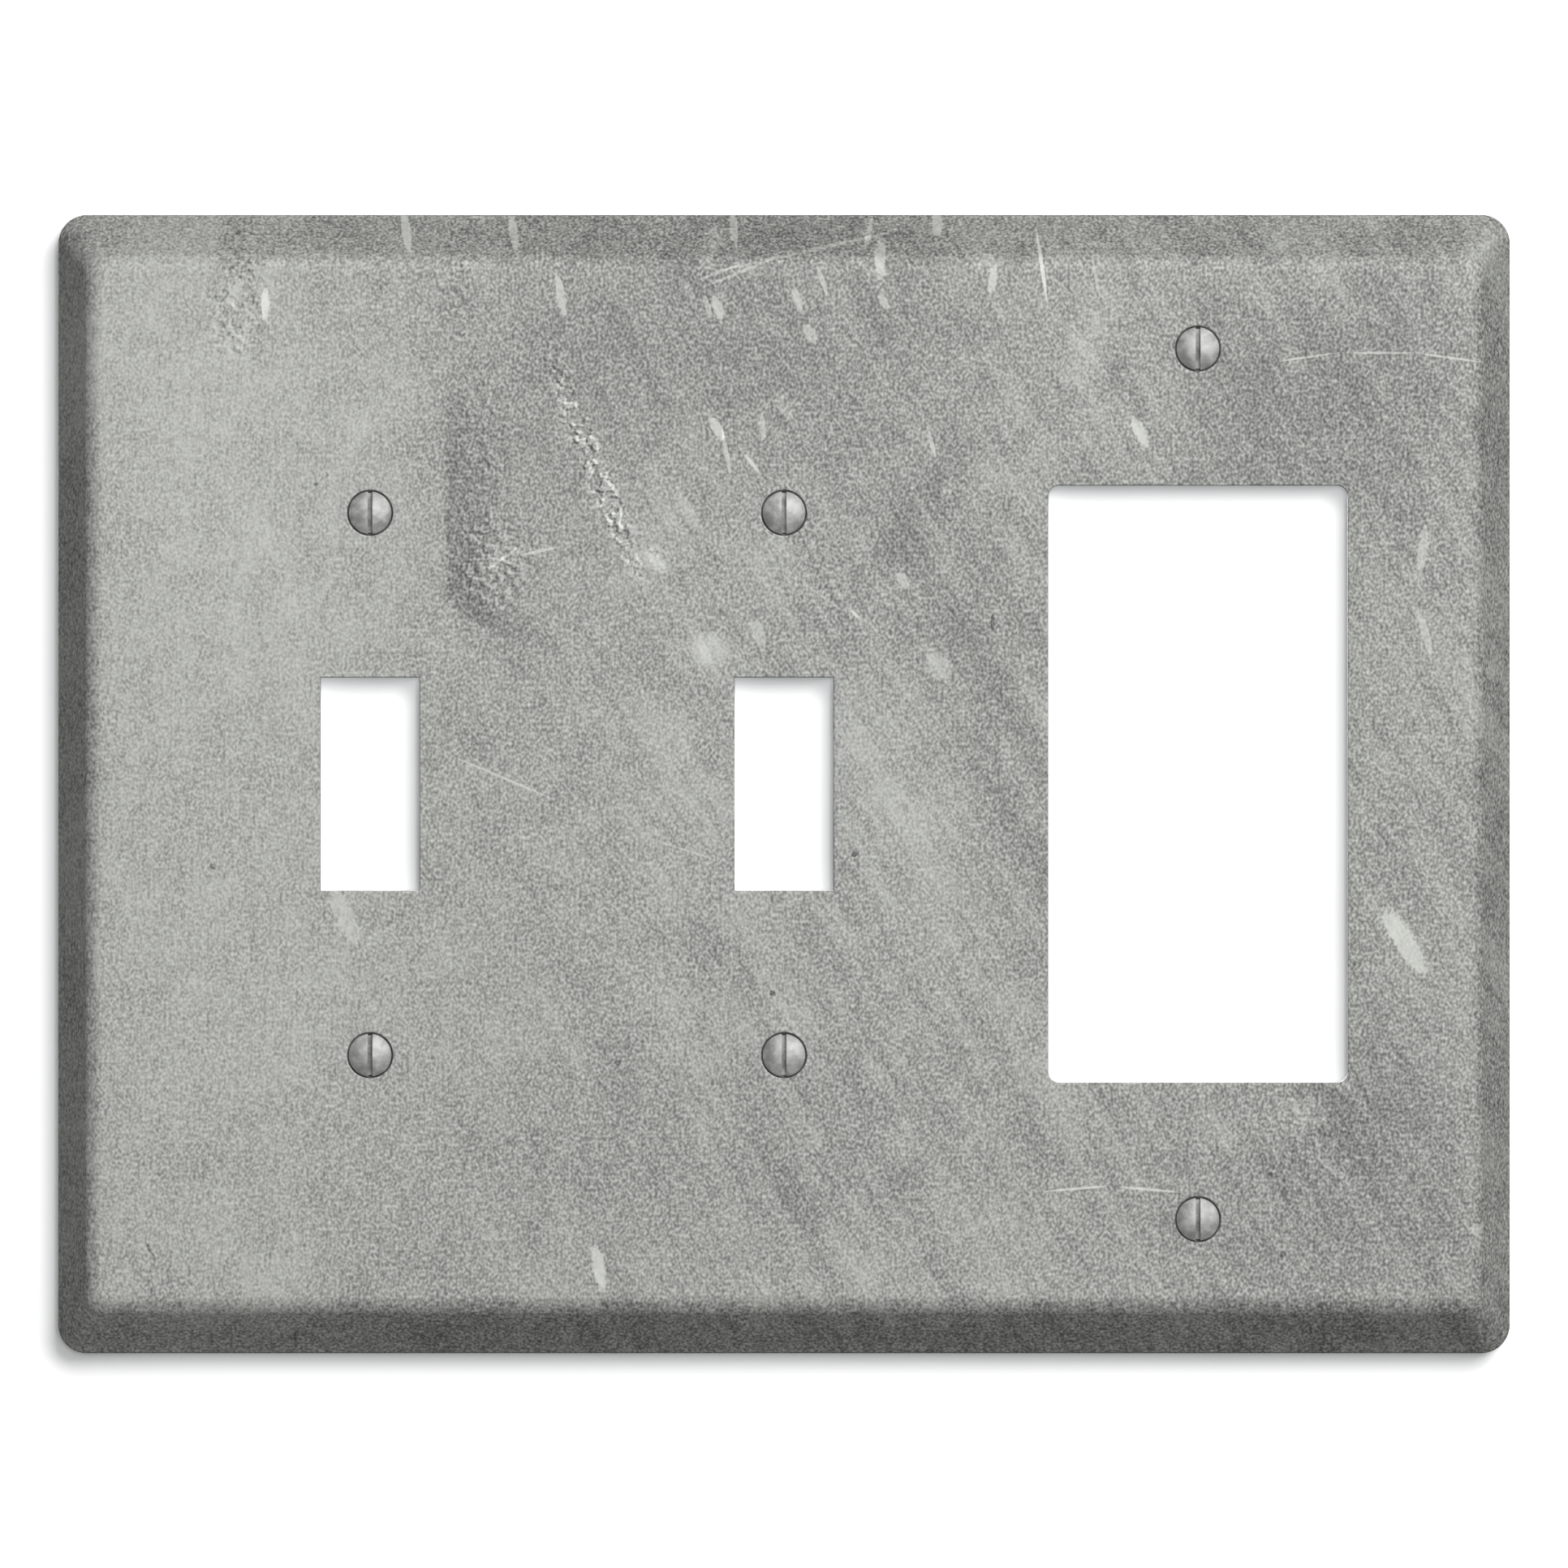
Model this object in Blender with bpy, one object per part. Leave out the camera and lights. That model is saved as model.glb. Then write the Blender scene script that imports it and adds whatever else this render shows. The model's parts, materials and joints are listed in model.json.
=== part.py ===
"""Three-gang switch wall plate with its six screws.

The plate is one steel sheet, pressed into a shallow pan. It has two toggle openings and one rocker opening,
and a countersunk dimple for each screw. Its rim sits on the wall, which is the plane y = 0, and its face
looks along -Y. The origin is the middle of the rim's outline, on the wall. X runs across the gangs and Z up.
"""

import math

import bmesh
import bpy
from mathutils import Matrix, Vector

MM = 0.001
INCH = 25.4 * MM

# Driving dimensions. The gang pitch, screw spacings and openings are those of common wall boxes and devices.
GANG_PITCH = 1.8125 * INCH
PLATE_WIDTH = 6.375 * INCH
PLATE_HEIGHT = 5.0 * INCH
PLATE_DEPTH = 0.25 * INCH
SHEET_THICKNESS = 0.9 * MM

TOGGLE_SCREW_SPACING = 2.375 * INCH
ROCKER_SCREW_SPACING = 3.8125 * INCH
TOGGLE_OPENING = (11.0 * MM, 23.7 * MM)
ROCKER_OPENING = (33.3 * MM, 66.4 * MM)
ROCKER_CORNER_RADIUS = 1.2 * MM

# The pan's edge: a straight lip at the wall, a slope, and a bend into the face.
OUTLINE_CORNER_RADIUS = 3.2 * MM
FACE_CORNER_RADIUS = 1.3 * MM
LIP_HEIGHT = 0.8 * MM
SLOPE_RUN_SIDE = 3.8 * MM
SLOPE_RUN_END = 5.3 * MM
BEND_RADIUS = 2.4 * MM
BEND_STEPS = 5
CORNER_STEPS = 6

# Screws: 6-32 machine screws with a small oval head. The thread is stood for by its outside cylinder.
HEAD_RADIUS = 2.46 * MM
HEAD_EDGE = 0.12 * MM
DOME_HEIGHT = 0.8 * MM
DOME_STEPS = 5
SLOT_WIDTH = 0.5 * MM
SLOT_DEPTH = 1.1 * MM
THREAD_RADIUS = 1.75 * MM
SCREW_LENGTH = 0.5 * INCH
TIP_CHAMFER = 0.5 * MM
SCREW_SIDES = 40

# Dimples: a countersink in the face, and the boss that the press pushes out behind it.
COUNTERSINK_HALF_ANGLE = math.radians(41)
MOUTH_RADIUS = HEAD_RADIUS + 0.16 * MM
HOLE_RADIUS = THREAD_RADIUS + 0.2 * MM
BOSS_HEIGHT = 0.75 * MM
BOSS_ROOT_RADIUS = 3.9 * MM
BOSS_TOP_RADIUS = 2.7 * MM
BOSS_SINK = 0.45 * MM
DIMPLE_SIDES = 40

PAST = 2.0 * MM  # how far a cutter runs past the wall that it cuts

FRONT = Vector((0, -PLATE_DEPTH, 0))
TOGGLE_LEFT_X = -GANG_PITCH
TOGGLE_MIDDLE_X = 0.0
ROCKER_X = GANG_PITCH

# Each gang: its name, its place across the plate and the distance between its two screws.
GANGS = (
    ("toggle_left", TOGGLE_LEFT_X, TOGGLE_SCREW_SPACING),
    ("toggle_middle", TOGGLE_MIDDLE_X, TOGGLE_SCREW_SPACING),
    ("rocker", ROCKER_X, ROCKER_SCREW_SPACING),
)


def clear_scene():
    for obj in list(bpy.data.objects):
        bpy.data.objects.remove(obj)


def make_material(name, colour, roughness, metallic):
    material = bpy.data.materials.new(name)
    material.use_nodes = True
    shader = material.node_tree.nodes["Principled BSDF"]
    shader.inputs["Base Color"].default_value = (*colour, 1.0)
    shader.inputs["Roughness"].default_value = roughness
    shader.inputs["Metallic"].default_value = metallic
    return material


def add_object(name, mesh):
    obj = bpy.data.objects.new(name, mesh)
    bpy.context.scene.collection.objects.link(obj)
    return obj


def mesh_from(name, bm):
    bmesh.ops.recalc_face_normals(bm, faces=bm.faces)
    mesh = bpy.data.meshes.new(name)
    bm.to_mesh(mesh)
    bm.free()
    return mesh


def add_helper(name, mesh, group):
    """A cutter, or a piece that a Boolean adds. It is hidden, as it is not a part of the object."""
    obj = bpy.data.objects.new(name, mesh)
    group.objects.link(obj)
    obj.hide_render = True
    obj.display_type = "WIRE"
    return obj


def add_group(name):
    group = bpy.data.collections.new(name)
    bpy.context.scene.collection.children.link(group)
    return group


def add_boolean(obj, group, operation):
    modifier = obj.modifiers.new(group.name, "BOOLEAN")
    modifier.operation = operation
    modifier.operand_type = "COLLECTION"
    modifier.collection = group
    modifier.solver = "EXACT"


def rounded_rectangle(half_width, half_height, radius, steps, y):
    """Points round a rectangle in the plane at this y. Its corners are round, or sharp with no steps."""
    points = []
    for quarter, (side, end) in enumerate(((1, 1), (-1, 1), (-1, -1), (1, -1))):
        centre = Vector((side * (half_width - radius), y, end * (half_height - radius)))
        for step in range(steps + 1):
            angle = math.pi / 2 * (quarter + step / max(steps, 1))
            points.append(centre + radius * Vector((math.cos(angle), 0, math.sin(angle))))
    return points


def loft(bm, outlines):
    """Joins outlines of the same number of points by bands of faces. Returns their loops of vertices."""
    loops = [[bm.verts.new(point) for point in outline] for outline in outlines]
    for near, far in zip(loops, loops[1:]):
        for i in range(len(near)):
            j = (i + 1) % len(near)
            bm.faces.new((near[i], near[j], far[j], far[i]))
    return loops


def slope_inset(height, run):
    """How far in from the outline the pan's outer skin is at this height above the wall.

    The slope goes straight from the lip's top to the face at this run, and the bend rounds it into the face.
    """
    angle = math.atan2(PLATE_DEPTH - LIP_HEIGHT, run)
    bend_end = run + BEND_RADIUS * math.tan(angle / 2)
    drop = PLATE_DEPTH - height
    if drop < BEND_RADIUS * (1 - math.cos(angle)):
        return bend_end - math.sqrt(BEND_RADIUS**2 - (BEND_RADIUS - drop) ** 2)
    return max(0.0, (height - LIP_HEIGHT) / math.tan(angle))


def pan_heights():
    """The heights of the outer skin's outlines: the lip's foot and top, then closer steps round the bend."""
    steepest = math.atan2(PLATE_DEPTH - LIP_HEIGHT, SLOPE_RUN_SIDE)
    turns = [steepest * (1 - step / BEND_STEPS) for step in range(BEND_STEPS + 1)]
    return [0.0, LIP_HEIGHT] + [PLATE_DEPTH - BEND_RADIUS * (1 - math.cos(turn)) for turn in turns]


def pan_outline(height):
    share = max(0.0, height - LIP_HEIGHT) / (PLATE_DEPTH - LIP_HEIGHT)
    radius = OUTLINE_CORNER_RADIUS + share * (FACE_CORNER_RADIUS - OUTLINE_CORNER_RADIUS)
    return rounded_rectangle(
        PLATE_WIDTH / 2 - slope_inset(height, SLOPE_RUN_SIDE),
        PLATE_HEIGHT / 2 - slope_inset(height, SLOPE_RUN_END),
        radius,
        CORNER_STEPS,
        -height,
    )


def make_pan():
    """The outer skin of the pan, thickened inwards to the sheet."""
    bm = bmesh.new()
    loops = loft(bm, [pan_outline(height) for height in pan_heights()])
    bm.faces.new(loops[-1])
    pan = add_object("wall_plate", mesh_from("wall_plate", bm))
    sheet = pan.modifiers.new("sheet", "SOLIDIFY")
    sheet.thickness = SHEET_THICKNESS
    sheet.offset = -1.0
    sheet.use_even_offset = True
    return pan


def make_opening_cutter(name, x, size, radius, cutters):
    """A block that cuts one opening through the face."""
    half_width, half_height = size[0] / 2, size[1] / 2
    near = -PLATE_DEPTH - PAST
    far = -PLATE_DEPTH + SHEET_THICKNESS + PAST
    steps = CORNER_STEPS if radius else 0
    bm = bmesh.new()
    outlines = [rounded_rectangle(half_width, half_height, radius, steps, y) for y in (near, far)]
    near_loop, far_loop = loft(bm, outlines)
    bm.faces.new(near_loop)
    bm.faces.new(far_loop)
    cutter = add_helper(name, mesh_from(name, bm), cutters)
    cutter.location = (x, 0, 0)


def turned(name, profile, sides):
    """A solid turned about the Y axis from (radius, y) points, which start and end on the axis."""
    bm = bmesh.new()
    verts = [bm.verts.new((radius, y, 0)) for radius, y in profile]
    edges = [bm.edges.new(pair) for pair in zip(verts, verts[1:])]
    bmesh.ops.spin(
        bm, geom=verts + edges, axis=(0, 1, 0), cent=(0, 0, 0), angle=2 * math.pi, steps=sides, use_merge=True
    )
    bmesh.ops.remove_doubles(bm, verts=bm.verts, dist=0.0001 * MM)
    return mesh_from(name, bm)


def countersink_mesh():
    """The space that a screw takes: the countersink's cone, open at the face, and the hole behind it."""
    cone_depth = (MOUTH_RADIUS - HOLE_RADIUS) / math.tan(COUNTERSINK_HALF_ANGLE)
    wide_radius = MOUTH_RADIUS + PAST * math.tan(COUNTERSINK_HALF_ANGLE)
    hole_end = SHEET_THICKNESS + BOSS_HEIGHT + PAST
    cone = ((0, -PAST), (wide_radius, -PAST), (HOLE_RADIUS, cone_depth))
    hole = ((HOLE_RADIUS, hole_end), (0, hole_end))
    return turned("countersink", (*cone, *hole), DIMPLE_SIDES)


def boss_mesh():
    """The metal that the dimple pushes out behind the sheet. It starts inside the sheet, to join it."""
    top = SHEET_THICKNESS + BOSS_HEIGHT
    profile = ((0, BOSS_SINK), (BOSS_ROOT_RADIUS, BOSS_SINK), (BOSS_TOP_RADIUS, top), (0, top))
    return turned("boss", profile, DIMPLE_SIDES)


def screw_profile():
    """The screw's outline from the top of its dome to its tip. Its own y = 0 is the plate's face."""
    sphere_radius = (HEAD_RADIUS**2 + DOME_HEIGHT**2) / (2 * DOME_HEIGHT)
    half_angle = math.asin(HEAD_RADIUS / sphere_radius)
    sphere_centre = sphere_radius - DOME_HEIGHT - HEAD_EDGE
    angles = [half_angle * step / DOME_STEPS for step in range(DOME_STEPS + 1)]
    dome = [(sphere_radius * math.sin(a), sphere_centre - sphere_radius * math.cos(a)) for a in angles]
    cone_depth = (HEAD_RADIUS - THREAD_RADIUS) / math.tan(COUNTERSINK_HALF_ANGLE)
    shank = (
        (HEAD_RADIUS, 0),
        (THREAD_RADIUS, cone_depth),
        (THREAD_RADIUS, SCREW_LENGTH - TIP_CHAMFER),
        (THREAD_RADIUS - TIP_CHAMFER, SCREW_LENGTH),
        (0, SCREW_LENGTH),
    )
    return (*dome, *shank)


def make_screw_mesh():
    """One screw with its slot upright. The slot runs across the whole head."""
    blank = add_object("screw_blank", turned("screw_blank", screw_profile(), SCREW_SIDES))
    top = -DOME_HEIGHT - HEAD_EDGE
    bottom = top + SLOT_DEPTH
    bm = bmesh.new()
    bmesh.ops.create_cube(bm, size=1.0)
    size = Matrix.Diagonal((SLOT_WIDTH, SLOT_DEPTH + PAST, 2 * HEAD_RADIUS + PAST, 1))
    place = Matrix.Translation((0, bottom - (SLOT_DEPTH + PAST) / 2, 0))
    bmesh.ops.transform(bm, matrix=place @ size, verts=bm.verts)
    slots = add_group("slots")
    slot = add_helper("slot_cutter", mesh_from("slot_cutter", bm), slots)
    add_boolean(blank, slots, "DIFFERENCE")
    bpy.context.view_layer.update()
    mesh = bpy.data.meshes.new_from_object(blank.evaluated_get(bpy.context.evaluated_depsgraph_get()))
    mesh.name = "screw"
    for obj in (blank, slot):
        bpy.data.objects.remove(obj)
    bpy.data.collections.remove(slots)
    mesh.shade_smooth()
    mesh.set_sharp_from_angle(angle=math.radians(35))
    return mesh


def make_gang(name, x, spacing, meshes, bosses, cutters):
    """One gang's two screws, each with its boss and countersink, about an empty on the gang's centre."""
    screw_mesh, boss, countersink = meshes
    gang = add_object(f"gang_{name}", None)
    gang.location = (x, 0, 0)
    for end, side in (("top", 1), ("bottom", -1)):
        pieces = (
            add_object(f"screw_{name}_{end}", screw_mesh),
            add_helper(f"boss_{name}_{end}", boss, bosses),
            add_helper(f"countersink_{name}_{end}", countersink, cutters),
        )
        for piece in pieces:
            piece.parent = gang
            piece.location = FRONT + Vector((0, 0, side * spacing / 2))


def main():
    clear_scene()
    plate = make_pan()
    plate.data.materials.append(make_material("printed_steel", (0.37, 0.37, 0.35), 0.5, 0.0))
    plate.data.shade_smooth()
    plate.data.set_sharp_from_angle(angle=math.radians(35))

    bosses, cutters = add_group("bosses"), add_group("cutters")
    make_opening_cutter("opening_toggle_left", TOGGLE_LEFT_X, TOGGLE_OPENING, 0, cutters)
    make_opening_cutter("opening_toggle_middle", TOGGLE_MIDDLE_X, TOGGLE_OPENING, 0, cutters)
    make_opening_cutter("opening_rocker", ROCKER_X, ROCKER_OPENING, ROCKER_CORNER_RADIUS, cutters)
    screw_mesh = make_screw_mesh()
    screw_mesh.materials.append(make_material("plated_steel", (0.55, 0.55, 0.54), 0.35, 1.0))
    meshes = (screw_mesh, boss_mesh(), countersink_mesh())
    for name, x, spacing in GANGS:
        make_gang(name, x, spacing, meshes, bosses, cutters)
    add_boolean(plate, bosses, "UNION")
    add_boolean(plate, cutters, "DIFFERENCE")


main()
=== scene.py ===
# %% [markdown]
# # A pressed-steel switch wall plate with its six screws
# A wall plate covers the box that a row of switches sits in. This one is for three switches: two with a
# lever and one with a rocker. It is one thin steel sheet, pressed into a shallow pan and printed to look
# like bare concrete. Six slotted screws hold it to the switches. The lesson loads the measured model, makes
# a finer plate and finer screws in its places, and gives them the finishes of the real ones.

import json
import math

import bmesh
import bpy
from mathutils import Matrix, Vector


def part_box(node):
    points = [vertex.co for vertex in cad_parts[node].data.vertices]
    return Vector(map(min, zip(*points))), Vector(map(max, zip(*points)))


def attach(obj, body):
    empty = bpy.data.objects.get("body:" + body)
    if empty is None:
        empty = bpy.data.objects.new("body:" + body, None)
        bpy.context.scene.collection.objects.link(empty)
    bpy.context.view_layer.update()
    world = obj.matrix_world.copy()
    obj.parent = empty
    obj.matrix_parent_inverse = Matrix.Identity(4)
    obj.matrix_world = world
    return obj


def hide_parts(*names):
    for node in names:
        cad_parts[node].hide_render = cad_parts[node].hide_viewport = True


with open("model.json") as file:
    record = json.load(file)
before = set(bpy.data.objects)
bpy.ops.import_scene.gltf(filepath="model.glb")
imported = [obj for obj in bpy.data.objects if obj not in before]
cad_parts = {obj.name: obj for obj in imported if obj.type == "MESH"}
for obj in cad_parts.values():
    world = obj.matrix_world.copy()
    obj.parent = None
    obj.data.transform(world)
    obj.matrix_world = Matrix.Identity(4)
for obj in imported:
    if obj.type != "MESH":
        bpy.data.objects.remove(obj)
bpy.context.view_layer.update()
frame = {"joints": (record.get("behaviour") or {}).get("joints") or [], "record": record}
MM = 0.001

# %% [markdown]
# The model says where everything is. The plate's box gives its outline and depth, each screw's joint gives
# the place of its head on the face, and the boxes stated for the openings give their middles.

# %% Read the places
plate_low, plate_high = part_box("wall_plate")
PLATE_WIDTH = plate_high.x - plate_low.x
PLATE_HEIGHT = plate_high.z - plate_low.z
PLATE_DEPTH = plate_high.y - plate_low.y
FACE_Y = plate_low.y

screw_places = {joint["child"]: Vector(joint["pos_m"]) for joint in frame["joints"]}
opening_middles = {
    box["name"]: (Vector(box["box_m"][0]) + Vector(box["box_m"][1])) / 2
    for box in frame["record"]["physics"]["openings"]
    if box["name"].endswith("_opening")
}
print(f"plate {PLATE_WIDTH / MM:.1f} x {PLATE_HEIGHT / MM:.1f} mm, {PLATE_DEPTH / MM:.2f} mm deep")
print(len(screw_places), "screws,", len(opening_middles), "openings")

# %% [markdown]
# ## Camera and light
# A flat plate is best seen squarely, from far away with a long lens, so that its four sides stay parallel.
# The face fills most of the width.

# %% Camera
FRAME_WIDTH = 174.4 * MM
LENS = 400.0
SENSOR = 36.0

camera_data = bpy.data.cameras.new("camera")
camera_data.lens = LENS
camera_data.sensor_width = SENSOR
camera_data.clip_end = 20.0
camera = bpy.data.objects.new("camera", camera_data)
bpy.context.scene.collection.objects.link(camera)
camera.location = (0, FACE_Y - FRAME_WIDTH * LENS / SENSOR, 0)
camera.rotation_euler = (math.pi / 2, 0, 0)
bpy.context.scene.camera = camera
bpy.context.scene.view_settings.view_transform = "Standard"
print(f"camera {-camera.location.y:.2f} m in front of the wall")

# %% [markdown]
# The key light is a softbox up and to the right, close enough to straight on that the face is brighter than
# all four slopes, with painted shade on the top and bottom slopes to help. A weaker one beside the camera
# gives the satin finish something to reflect. One more softbox stands behind, for whoever looks at the
# back. None of them shows to the camera.

# %% Lights
def add_softbox(name, place, size, watts):
    """A rectangular light that faces the middle of the plate."""
    data = bpy.data.lights.new(name, "AREA")
    data.shape = "RECTANGLE"
    data.size, data.size_y = size
    data.energy = watts
    light = bpy.data.objects.new(name, data)
    bpy.context.scene.collection.objects.link(light)
    light.location = place
    light.rotation_euler = (-Vector(place)).to_track_quat("-Z", "Y").to_euler()
    light.visible_camera = False


# place and size in metres, power in watts
for softbox in (
    ("key", (0.50, -1.12, 0.67), (0.95, 0.95), 27.0),
    ("front", (0.10, -2.30, 0.12), (0.60, 0.60), 18.0),
    ("behind", (-0.30, 1.20, 0.45), (0.90, 0.90), 24.0),
):
    add_softbox(*softbox)

# %% [markdown]
# ## Helpers for modelling
# Every shape below starts as a primitive and is worked in edit mode. There the only thing that takes code is
# choosing what to work on, so one helper selects faces, edges or points by a test, and three small tests are
# used again and again.

# %% Choosing faces, edges and points
NEAR = 0.001 * MM
SQUARE_ON = 0.999


def choose(kind, test):
    """In edit mode, selects the faces, edges or points that pass the test, and nothing else."""
    bpy.ops.mesh.select_mode(type=kind)
    bpy.ops.mesh.select_all(action="DESELECT")
    shape = bmesh.from_edit_mesh(bpy.context.edit_object.data)
    shape.normal_update()
    everything = {"VERT": shape.verts, "EDGE": shape.edges, "FACE": shape.faces}[kind]
    chosen = [item for item in everything if test(item)]
    for item in chosen:
        item.select_set(True)
    shape.select_flush_mode()
    bmesh.update_edit_mesh(bpy.context.edit_object.data)
    return len(chosen)


def faces_front(face):
    return face.normal.y < -SQUARE_ON


def runs_in_depth(edge):
    """Whether the edge runs straight from front to back."""
    return abs((edge.verts[0].co - edge.verts[1].co).normalized().y) > SQUARE_ON


def lies_at(edge, y):
    """Whether the whole edge lies at this depth."""
    return all(abs(v.co.y - y) < NEAR for v in edge.verts)


print(f"closer than {NEAR / MM:.3f} mm counts as the same place")

# %% [markdown]
# The other helpers work on whole objects. One empties the selection, because an operator acts on all that
# is selected, one finishes a modifier by applying it, and one joins several objects.

# %% Working on whole objects
def edit(on):
    """Enters edit mode, or leaves it."""
    bpy.ops.object.mode_set(mode="EDIT" if on else "OBJECT")


def settle():
    """Applies place, turn and size to the mesh, so that the object sits at the origin."""
    bpy.ops.object.transform_apply(location=True, rotation=True, scale=True)


def start_shape():
    """Leaves edit mode and deselects everything, so that a new primitive is the only thing selected."""
    if bpy.context.mode != "OBJECT":
        edit(False)
    bpy.ops.object.select_all(action="DESELECT")


def make_only(obj):
    """Leaves only this object selected and active."""
    start_shape()
    obj.select_set(True)
    bpy.context.view_layer.objects.active = obj


def finish_modifier(obj, kind, **settings):
    """Adds a modifier and applies it at once."""
    make_only(obj)
    modifier = obj.modifiers.new(kind.lower(), kind)
    for name, value in settings.items():
        setattr(modifier, name, value)
    bpy.ops.object.modifier_apply(modifier=modifier.name)


def join_into(objects, name):
    """Joins separate helper solids into one object, so that one Boolean uses them all."""
    start_shape()
    for obj in objects:
        obj.select_set(True)
    bpy.context.view_layer.objects.active = objects[0]
    bpy.ops.object.join()
    objects[0].name = name
    return objects[0]


start_shape()
print(len(bpy.context.selected_objects), "objects selected")

# %% [markdown]
# ## The pressed plate
# A press forms the pan in one stroke: a short straight lip where it meets the wall, a slope all round, and
# a soft bend into the flat face. Its slopes are a little wider above and below than at the sides. It could
# be lofted from outlines, but a box worked outwards shows the same steps as the press, and keeps clean
# faces. So the lip comes first, as a low box whose upright edges are rounded. Its back is removed, as it
# stays open.

# %% The lip
LIP_HEIGHT = 0.8 * MM
OUTLINE_RADIUS = 3.2 * MM
CORNER_STEPS = 10

start_shape()
bpy.ops.mesh.primitive_cube_add(
    size=1, location=(0, -LIP_HEIGHT / 2, 0), scale=(PLATE_WIDTH, LIP_HEIGHT, PLATE_HEIGHT)
)
plate = bpy.context.object
plate.name = "printed_wall_plate"
settle()
edit(True)
choose("EDGE", runs_in_depth)
bpy.ops.mesh.bevel(offset=OUTLINE_RADIUS, segments=CORNER_STEPS, affect="EDGES")
choose("FACE", lambda f: f.normal.y > SQUARE_ON)
bpy.ops.mesh.delete(type="FACE")
print("lip:", len(bmesh.from_edit_mesh(plate.data).faces), "faces")

# %% [markdown]
# The front face is drawn forward and made smaller, which raises the slope. Resizing also shrinks its corner
# curves only a little, and the real face has tighter corners than the outline, so each corner is resized
# once more about its own tip. The lip's edge and the bend are then rounded by bevels.

# %% The slope and the bend
SLOPE_RUN_SIDE = 3.8 * MM
SLOPE_RUN_END = 5.3 * MM
FACE_CORNER_RADIUS = 1.9 * MM
BEND_WIDTH = 1.2 * MM
BEND_STEPS = 8
LIP_EDGE = 0.25 * MM
SUPPORT_RING = 0.4 * MM
CORNER_REACH = 1.2 * OUTLINE_RADIUS

choose("FACE", faces_front)
bpy.ops.mesh.extrude_region_move(TRANSFORM_OT_translate={"value": (0, LIP_HEIGHT - PLATE_DEPTH, 0)})
face_width = PLATE_WIDTH - 2 * SLOPE_RUN_SIDE
face_height = PLATE_HEIGHT - 2 * SLOPE_RUN_END
bpy.ops.transform.resize(
    value=(face_width / PLATE_WIDTH, 1, face_height / PLATE_HEIGHT), center_override=(0, 0, 0)
)
tighter = FACE_CORNER_RADIUS / OUTLINE_RADIUS
for side in (1, -1):
    for end in (1, -1):
        corner = Vector((side * face_width / 2, FACE_Y, end * face_height / 2))
        choose("VERT", lambda v: (v.co - corner).length < CORNER_REACH)
        bpy.ops.transform.resize(value=(tighter, 1, tighter), center_override=corner)

choose("EDGE", lambda e: lies_at(e, FACE_Y))
bpy.ops.mesh.bevel(offset=BEND_WIDTH, segments=BEND_STEPS, affect="EDGES")
choose("EDGE", lambda e: lies_at(e, -LIP_HEIGHT))
bpy.ops.mesh.bevel(offset=LIP_EDGE, segments=3, affect="EDGES")
choose("FACE", faces_front)
bpy.ops.mesh.inset(thickness=SUPPORT_RING)
edit(False)
print("pan:", len(plate.data.polygons), "faces,", f"face {face_width / MM:.1f} x {face_height / MM:.1f} mm")

# %% [markdown]
# So far the pan has no thickness. Solidify gives it that of the sheet, inwards, so that the outside stays
# where it is.

# %% The sheet's thickness
SHEET = 0.9 * MM
finish_modifier(plate, "SOLIDIFY", thickness=SHEET, offset=-1.0, use_even_offset=True)
print("sheet:", f"{SHEET / MM:.1f} mm,", len(plate.data.polygons), "faces")

# %% [markdown]
# ## Dimples and openings
# For each screw, the press sinks a cone in the face and pushes out a round boss behind it. The boss is
# modelled once, as a cone with a rounded rim, and copied to the six places. It starts inside the sheet, so
# that the two join cleanly when one Boolean adds them.

# %% Bosses behind the screws
BOSS_FOOT = 3.9 * MM
BOSS_TOP = 2.8 * MM
BOSS_HEIGHT = 0.75 * MM
BOSS_SINK = 0.45 * MM
BOSS_ROUNDING = 0.3 * MM
ROUND_SIDES = 64


def copies_at(shape, places):
    """Moves the shape to the first place and copies it, mesh and all, to the others."""
    copies = [shape]
    for _ in range(len(places) - 1):
        copy = shape.copy()
        copy.data = shape.data.copy()
        bpy.context.scene.collection.objects.link(copy)
        copies.append(copy)
    for copy, place in zip(copies, places):
        copy.location = place
    return copies


def cut_or_add(obj, tool, operation):
    """One exact Boolean with a helper solid, which is then thrown away."""
    make_only(tool)
    settle()
    finish_modifier(obj, "BOOLEAN", operation=operation, object=tool, solver="EXACT")
    bpy.data.objects.remove(tool)


boss_depth = SHEET + BOSS_HEIGHT - BOSS_SINK
start_shape()
bpy.ops.mesh.primitive_cone_add(
    vertices=ROUND_SIDES, radius1=BOSS_FOOT, radius2=BOSS_TOP, depth=boss_depth,
    location=(0, BOSS_SINK + boss_depth / 2, 0), rotation=(-math.pi / 2, 0, 0),
)
boss = bpy.context.object
settle()
edit(True)
top_y = max(v.co.y for v in bmesh.from_edit_mesh(boss.data).verts)
choose("EDGE", lambda e: lies_at(e, top_y))
bpy.ops.mesh.bevel(offset=BOSS_ROUNDING, segments=3, affect="EDGES")
edit(False)
bosses = join_into(copies_at(boss, list(screw_places.values())), "bosses")
cut_or_add(plate, bosses, "UNION")
print("plate with bosses:", len(plate.data.polygons), "faces")

# %% [markdown]
# What is cut away comes next. Under each screw it is a round hole with a cone in front, where the head
# sits. The cutter reaches past the sheet on both sides, and is copied to the six places.

# %% Cutters for the countersunk holes
HEAD_RADIUS = 2.38 * MM
THREAD_RADIUS = 1.75 * MM
MOUTH_RADIUS = 2.56 * MM
HOLE_RADIUS = 1.95 * MM
CONE_HALF_ANGLE = math.radians(41)
PAST = 2.0 * MM

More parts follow.
